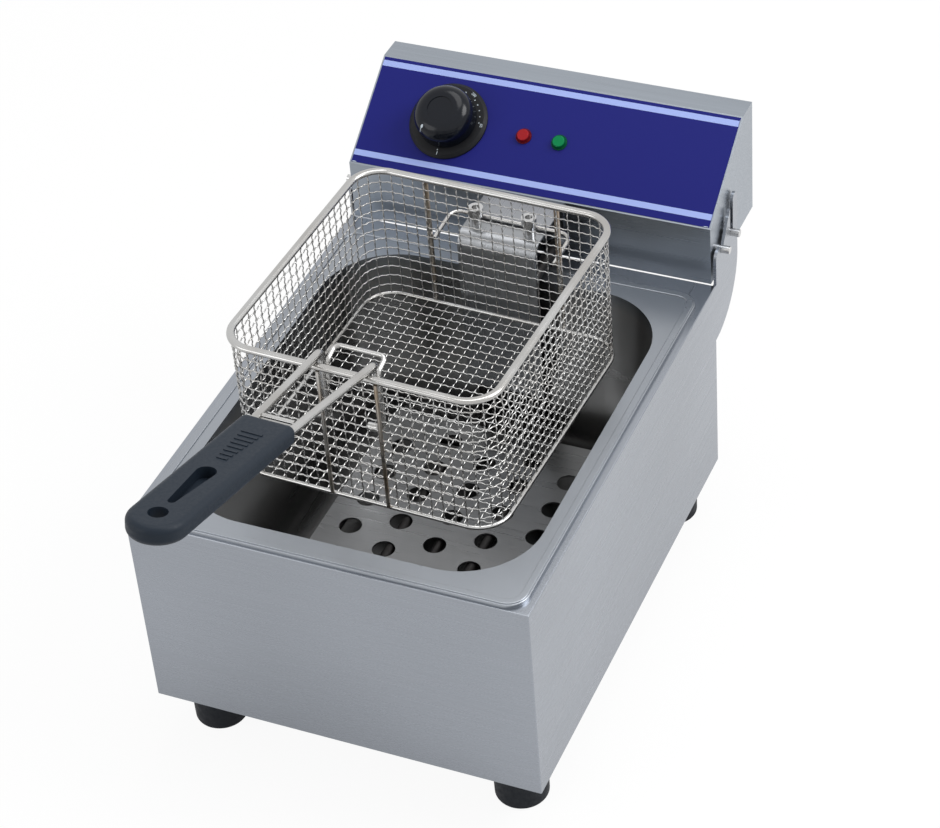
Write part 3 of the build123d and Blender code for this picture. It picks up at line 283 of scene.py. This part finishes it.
def tubes(paths, refs, radius, sides=6):
    # round wires along point lists, with a reference direction for each
    verts = []
    faces = []
    angles = np.linspace(0, 2 * math.pi, sides, endpoint=False)
    for path, ref in zip(paths, refs):
        path = np.asarray(path, float)
        tangent = np.gradient(path, axis=0)
        tangent /= np.linalg.norm(tangent, axis=1)[:, None]
        side = np.cross(tangent, np.broadcast_to(ref, path.shape))
        side /= np.linalg.norm(side, axis=1)[:, None]
        up = np.cross(side, tangent)
        ring = path[:, None] + radius * (np.cos(angles)[None, :, None] * side[:, None]
                                         + np.sin(angles)[None, :, None] * up[:, None])
        start = len(verts)
        verts.extend(ring.reshape(-1, 3))
        for i in range(len(path) - 1):
            for k in range(sides):
                a = start + i * sides + k
                b = start + i * sides + (k + 1) % sides
                faces.append((a, b, b + sides, a + sides))
        faces.append(tuple(start + k for k in reversed(range(sides))))
        last = start + (len(path) - 1) * sides
        faces.append(tuple(last + k for k in range(sides)))
    return verts, faces


# woven basket mesh

meshWork = {
    "pitch": 0.0080,
    "wire": 0.00044,  # radius
    "crimp": 0.00034,
    "waves": 3,  # half waves of the crimp in each cell
    "samples": 9,  # points along a wire in each cell
    "turn": math.radians(-2.1),
    "width": 0.185,
    "length": 0.204,
    "corner": 0.021,
    "rimTuck": 0.0012,  # from the rim's middle down to the ends of the uprights
}
rimLow, rimHigh = (Vector(c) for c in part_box("basket_rim"))
floorLow, floorHigh = (Vector(c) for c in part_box("basket_floor_rim"))
basketMid = (rimLow + rimHigh) / 2
rimZ = basketMid.z
floorZ = (floorLow.z + floorHigh.z) / 2


def toBasket(points):
    points = np.asarray(points, float)
    c = math.cos(meshWork["turn"])
    s = math.sin(meshWork["turn"])
    x = points[:, 0]
    y = points[:, 1]
    return np.c_[basketMid.x + x * c - y * s, basketMid.y + x * s + y * c, points[:, 2]]


def outline(distance):
    # point and outward direction on the basket's outline, by distance along it
    r = meshWork["corner"]
    straightX = meshWork["width"] - 2 * r
    straightY = meshWork["length"] - 2 * r
    arc = math.pi * r / 2
    legs = [(straightY, arc), (straightX, arc), (straightY, arc), (straightX, arc)]
    corners = [(1, 1, 0), (-1, 1, 90), (-1, -1, 180), (1, -1, 270)]
    total = sum(a + b for a, b in legs)
    d = distance % total
    for (straight, bend), (sx, sy, startAngle) in zip(legs, corners):
        cx = sx * (meshWork["width"] / 2 - r)
        cy = sy * (meshWork["length"] / 2 - r)
        angle = math.radians(startAngle)
        along = Vector((-math.sin(angle), math.cos(angle)))
        out = Vector((math.cos(angle), math.sin(angle)))
        if d <= straight:
            point = Vector((cx, cy)) + out * r - along * (straight - d)
            return point, out
        d -= straight
        if d <= bend:
            angle += d / r
            out = Vector((math.cos(angle), math.sin(angle)))
            return Vector((cx, cy)) + out * r, out
        d -= bend
    return outline(0.0)


def crimp(cells):
    return math.cos(math.pi * meshWork["waves"] * cells) * meshWork["crimp"]


fine = meshWork["samples"]
corner = meshWork["corner"]
perimeter = 2 * (meshWork["width"] + meshWork["length"] - 4 * corner) + 2 * math.pi * corner
uprights = 2 * round(perimeter / meshWork["pitch"] / 2)
stepAlong = perimeter / uprights
wallHigh = rimZ - meshWork["rimTuck"]
rows = round((wallHigh - floorZ) / meshWork["pitch"])
stepUp = (wallHigh - floorZ) / rows
uprightPaths = []
uprightRefs = []
for i in range(uprights):
    point, out = outline(i * stepAlong)
    path = []
    for k in range(rows * fine + 1):
        path.append((*(point + out * crimp(k / fine + i)), floorZ + k / fine * stepUp))
    uprightPaths.append(toBasket(path))
    uprightRefs.append((math.cos(i), math.sin(i), 0))  # any level direction will do
verts, faces = tubes(uprightPaths, uprightRefs, meshWork["wire"])
wallUprights = addMesh("basket_wall_uprights", verts, faces, wireNickel, "basket")
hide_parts("basket_net_front", "basket_net_back", "basket_net_left", "basket_net_right",
            "basket_net_corners")
ringPaths = []
for j in range(1, rows):
    path = []
    for k in range(uprights * fine + 1):
        point, out = outline(k / fine * stepAlong)
        path.append((*(point - out * crimp(k / fine + j)), floorZ + j * stepUp))
    ringPaths.append(toBasket(path))
verts, faces = tubes(ringPaths, [(0, 0, 1)] * len(ringPaths), meshWork["wire"])
addMesh("basket_wall_rings", verts, faces, wireNickel, "basket")
print("woven walls:", uprights, "uprights,", rows - 1, "rings")

floorPaths = []
floorRefs = []
halfX = meshWork["width"] / 2
halfY = meshWork["length"] / 2
countX = round(meshWork["width"] / meshWork["pitch"])
countY = round(meshWork["length"] / meshWork["pitch"])
stepX = meshWork["width"] / countX
stepY = meshWork["length"] / countY


def reach(across, halfA, halfB):
    # half length of a floor wire that lies this far from the middle
    past = abs(across) - (halfA - corner)
    if past <= 0:
        return halfB
    return halfB - corner + math.sqrt(max(corner * corner - past * past, 0))


for i in range(1, countX):
    x = -halfX + i * stepX
    half = reach(x, halfX, halfY)
    ys = np.linspace(-half, half, countY * fine + 1)
    wave = np.array([crimp((y + halfY) / stepY + i) for y in ys])
    floorPaths.append(toBasket(np.c_[np.full_like(ys, x), ys, floorZ + wave]))
    floorRefs.append((1, 0, 0))
for j in range(1, countY):
    y = -halfY + j * stepY
    half = reach(y, halfY, halfX)
    xs = np.linspace(-half, half, countX * fine + 1)
    wave = np.array([-crimp((x + halfX) / stepX + j) for x in xs])
    floorPaths.append(toBasket(np.c_[xs, np.full_like(xs, y), floorZ + wave]))
    floorRefs.append((0, 1, 0))
verts, faces = tubes(floorPaths, floorRefs, meshWork["wire"])
floorMesh = addMesh("basket_floor_mesh", verts, faces, wireNickel, "basket")
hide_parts("basket_net_floor")
print("woven floor:", countX - 1, "by", countY - 1)


# printing on the sloped panel

panel = {
    "dialX": -0.071,
    "dialUp": 0.043,
    "halfWidth": 0.1328,
    "film": 0.0004,  # top of the film over the steel
    "stripe": 0.0044,
    "stripeInset": 0.0001,
    "topStripe": 0.0760,  # lower edge, from the fold
    "lowStripe": 0.0065,
    "dashLength": 0.0030,
    "dashInset": 0.0008,
    "dashLow": 0.0014,
    "dashHigh": 0.0018,
}
ink = {
    "thick": 0.00006,
    "sink": 0.00002,  # how far flat marks reach into what they are printed on
    "stripSink": 0.00003,
}
dialJoint = next(j for j in frame["joints"] if j["name"] == "knob_turn")
panelOut = Vector(dialJoint["axis"]).normalized()
panelRight = Vector((1, 0, 0))
panelUp = panelOut.cross(panelRight)
dialSpot = Vector(dialJoint["pos_m"])


def panelSpot(x, up, out):
    across = panelRight * (x - panel["dialX"])
    return dialSpot + across + panelUp * (up - panel["dialUp"]) + panelOut * out


def panelMark(name, x0, x1, up0, up1, mat):
    levels = (panel["film"] - ink["sink"], panel["film"] + ink["thick"])
    corners = [panelSpot(x, up, out) for out in levels for up in (up0, up1) for x in (x0, x1)]
    boxFaces = [(0, 2, 3, 1), (4, 5, 7, 6), (0, 1, 5, 4), (2, 6, 7, 3), (0, 4, 6, 2), (1, 3, 7, 5)]
    addMesh(name, corners, boxFaces, mat, "head", False)


edge = panel["halfWidth"] - panel["stripeInset"]
for name, low in (("stripe_top", panel["topStripe"]), ("stripe_low", panel["lowStripe"])):
    panelMark(name, -edge, edge, low, low + panel["stripe"], stripeBlue)
edge = panel["halfWidth"] - panel["dashInset"]
for name, x in (("dash_left", -edge), ("dash_right", edge - panel["dashLength"])):
    panelMark(name, x, x + panel["dashLength"], panel["dashLow"], panel["dashHigh"], printWhite)
print("panel printed")


# lamps: a lighter face over a darker flank, painted light on the face and painted shade on the
# flank

lampPaintedLight = {
    "flankTop": 0.0029,  # over the steel
    "faceLow": 0.0036,
    "colours": {redLens: ((0.11, 0.004, 0.006), (0.30, 0.012, 0.016)),
                greenLens: ((0.001, 0.07, 0.024), (0.002, 0.19, 0.062))},
}
steelLevel = dialSpot.dot(panelOut)
for lens, (flank, face) in lampPaintedLight["colours"].items():
    addDepth(lens, [(steelLevel + lampPaintedLight["flankTop"], flank),
                    (steelLevel + lampPaintedLight["faceLow"], face)], panelOut)
print("lamps shaded")


# dial marks

dial = {
    "skirtTop": 0.0039,  # over the steel
    "markRadius": 0.0235,
    "dot": 0.00042,
    "dotSides": 12,
    "dots": [72, 49, 38.5, 27, 15.5, 4],  # degrees, seen from the front
    "offAngle": -91,
    "offInset": 0.0004,
    "offDash": (0.0242, 0.0268),
    "offDashTurn": 1,  # degrees on from the off dot
    "offDashHalf": 0.0002,
    "numbers": [("200", 58, -32), ("60", 0, -90)],  # words, place and turn in degrees
    "numberRadius": 0.0254,
    "numberHeight": 0.0027,
}


def dialPoint(radius, degrees, out):
    a = math.radians(degrees)
    x = panel["dialX"] + radius * math.cos(a)
    return panelSpot(x, panel["dialUp"] + radius * math.sin(a), out)


def dialDot(name, radius, degrees):
    count = dial["dotSides"]
    centre = dialPoint(radius, degrees, dial["skirtTop"] - ink["sink"])
    ring = []
    for k in range(count):
        a = 2 * math.pi * k / count
        ring.append(centre + (panelRight * math.cos(a) + panelUp * math.sin(a)) * dial["dot"])
    top = [p + panelOut * ink["thick"] for p in ring]
    faces = [(k, (k + 1) % count, count + (k + 1) % count, count + k) for k in range(count)]
    faces += [tuple(range(count, 2 * count)), tuple(reversed(range(count)))]
    addMesh(name, ring + top, faces, printWhite, "head", False)


def strip(name, path, normals, side, widths, body):
    # thin flat mark laid along a path, with a half width at each point
    verts = []
    for point, normal, half in zip(path, normals, widths):
        for lift in (-ink["stripSink"], ink["thick"]):
            verts.append(point + normal * lift - side * half)
            verts.append(point + normal * lift + side * half)
    faces = []
    for i in range(len(path) - 1):
        a = i * 4
        faces += [(a, a + 4, a + 5, a + 1), (a + 2, a + 3, a + 7, a + 6),
                  (a, a + 2, a + 6, a + 4), (a + 1, a + 5, a + 7, a + 3)]
    last = len(verts) - 4
    faces += [(0, 1, 3, 2), (last, last + 2, last + 3, last + 1)]
    addMesh(name, verts, faces, printWhite, body, False)


def dialNumber(name, words, degrees, turned):
    text = bpy.data.curves.new(name, "FONT")
    text.body = words
    text.size = dial["numberHeight"]
    text.align_x = "CENTER"
    text.align_y = "CENTER"
    text.extrude = ink["thick"] / 2
    letters = bpy.data.objects.new(name + "_text", text)
    bpy.context.collection.objects.link(letters)
    ready = letters.evaluated_get(bpy.context.evaluated_depsgraph_get())
    mesh = bpy.data.meshes.new_from_object(ready)
    bpy.data.objects.remove(letters)
    axes = Matrix((panelRight, panelUp, panelOut)).transposed().to_4x4()
    place = dialPoint(dial["numberRadius"], degrees, dial["skirtTop"] + ink["thick"] / 4)
    spin = Matrix.Rotation(math.radians(turned), 4, "Z")
    mesh.transform(Matrix.Translation(place) @ axes @ spin)
    mesh.materials.clear()
    mesh.materials.append(printWhite)
    obj = bpy.data.objects.new(name, mesh)
    bpy.context.collection.objects.link(obj)
    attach(obj, "head")


for index, degrees in enumerate(dial["dots"]):
    dialDot(f"dial_dot_{index}", dial["markRadius"], degrees)
dialDot("dial_off_dot", dial["markRadius"] - dial["offInset"], dial["offAngle"])
dashAngle = dial["offAngle"] + dial["offDashTurn"]
offPath = [dialPoint(r, dashAngle, dial["skirtTop"]) for r in dial["offDash"]]
strip("dial_off_dash", offPath, [panelOut] * 2, panelRight, [dial["offDashHalf"]] * 2, "head")
for words, degrees, turned in dial["numbers"]:
    dialNumber("dial_number_" + words, words, degrees, turned)

pointer = {
    "degrees": -124,
    "base": 0.0043,  # knob bottom over the steel
    "centre": (0.01111, 0.0090),  # of the crown's round edge: from the axis, over the knob bottom
    "crown": 0.0100,
    "from": 30,  # degrees round the crown
    "to": 72,
    "steps": 12,
    "bulgeAt": 2.5,  # middle of the wide end, in steps
    "bulgeReach": 2.6,
    "bulgeHalf": 0.00095,  # half widths
    "tailHalf": 0.00022,
}
towards = math.radians(pointer["degrees"])
outward = panelRight * math.cos(towards) + panelUp * math.sin(towards)
lateral = panelOut.cross(outward)
crownRadius, crownHeight = pointer["centre"]
middle = dialSpot + outward * crownRadius + panelOut * (pointer["base"] + crownHeight)
path = []
normals = []
widths = []
for k in range(pointer["steps"] + 1):
    share = k / pointer["steps"]
    a = math.radians(pointer["from"] + (pointer["to"] - pointer["from"]) * share)
    normal = outward * math.sin(a) + panelOut * math.cos(a)
    path.append(middle + normal * pointer["crown"])
    normals.append(normal)
    off = (k - pointer["bulgeAt"]) / pointer["bulgeReach"]
    bulge = math.sqrt(max(1 - off ** 2, 0))
    widths.append(max(pointer["bulgeHalf"] * bulge, pointer["tailHalf"]))
strip("knob_pointer", path, normals, lateral, widths, "knob")
print("dial marked")


# floor, camera and light

stageSet = {
    "floorSize": 8.0,
    "floorColour": (0.93, 0.93, 0.93),
    "floorRoughness": 0.9,
    "floorGlow": 0.93,  # share of plain white in the floor, as the camera sees it
    "mirrorGlow": 0.40,  # the same as the steel mirrors it, with more of the shadow
    "worldGlow": 0.55,  # strength of the light from all round
    "cameraAz": 0.4523,
    "cameraTilt": 0.8812,
    "cameraRoll": -0.0863,
    "cameraPlace": (0.6544, -1.268902, 1.3705),
    "lens": 108.83,
    "sensor": 36.0,
    "farClip": 50.0,
    "lightAim": (0, 0, 0.15),
    "lights": [("key", (1.5, 0.5, 1.7), 1.2, 26),  # name, place, size, power
               ("fill", (-1.4, -1.6, 1.2), 1.4, 9),
               ("top", (0.0, 0.6, 2.2), 1.4, 14)],
}
floorMat = newMaterial("floor", stageSet["floorColour"], gloss=0.0)
tree = floorMat.node_tree
shader = tree.nodes["Principled BSDF"]
shader.inputs["Roughness"].default_value = stageSet["floorRoughness"]
rays = tree.nodes.new("ShaderNodeLightPath").outputs
mirrored = mathNode(tree, "MULTIPLY", rays["Is Glossy Ray"], stageSet["mirrorGlow"])
seen = mathNode(tree, "MULTIPLY_ADD", rays["Is Camera Ray"], stageSet["floorGlow"], mirrored)
glow = tree.nodes.new("ShaderNodeEmission")
blendShaders(tree, seen, shader.outputs[0], glow.outputs[0], "Material Output")
half = stageSet["floorSize"] / 2
floorCorners = [(-half, -half, 0), (half, -half, 0), (half, half, 0), (-half, half, 0)]
floorData = bpy.data.meshes.new("floor")
floorData.from_pydata(floorCorners, [], [(0, 1, 2, 3)])
floorData.materials.append(floorMat)
floor = bpy.data.objects.new("floor", floorData)
bpy.context.collection.objects.link(floor)

camData = bpy.data.cameras.new("camera")
camData.lens = stageSet["lens"]
camData.sensor_width = stageSet["sensor"]
camData.clip_end = stageSet["farClip"]
cam = bpy.data.objects.new("camera", camData)
turn = (Matrix.Rotation(stageSet["cameraAz"], 4, "Z")
        @ Matrix.Rotation(stageSet["cameraTilt"], 4, "X")
        @ Matrix.Rotation(stageSet["cameraRoll"], 4, "Z"))
cam.matrix_world = Matrix.Translation(stageSet["cameraPlace"]) @ turn
bpy.context.collection.objects.link(cam)
bpy.context.scene.camera = cam

# plain white to the camera and in the steel, dimmer as a light
world = bpy.data.worlds.new("world")
world.use_nodes = True
bpy.context.scene.world = world
tree = world.node_tree
back = tree.nodes["Background"]
back.inputs["Color"].default_value = (1, 1, 1, 1)
back.inputs["Strength"].default_value = stageSet["worldGlow"]
white = tree.nodes.new("ShaderNodeBackground")
white.inputs["Color"].default_value = (1, 1, 1, 1)
rays = tree.nodes.new("ShaderNodeLightPath").outputs
seen = mathNode(tree, "MAXIMUM", rays["Is Camera Ray"], rays["Is Glossy Ray"])
blendShaders(tree, seen, back.outputs[0], white.outputs[0], "World Output")

for name, place, size, power in stageSet["lights"]:
    lightData = bpy.data.lights.new(name, "AREA")
    lightData.shape = "DISK"
    lightData.size = size
    lightData.energy = power
    light = bpy.data.objects.new(name, lightData)
    aim = Vector(stageSet["lightAim"]) - Vector(place)
    turn = aim.to_track_quat("-Z", "Y").to_matrix().to_4x4()
    light.matrix_world = Matrix.Translation(place) @ turn
    bpy.context.collection.objects.link(light)
bpy.context.scene.view_settings.view_transform = "Standard"
print("stage, camera and light set")
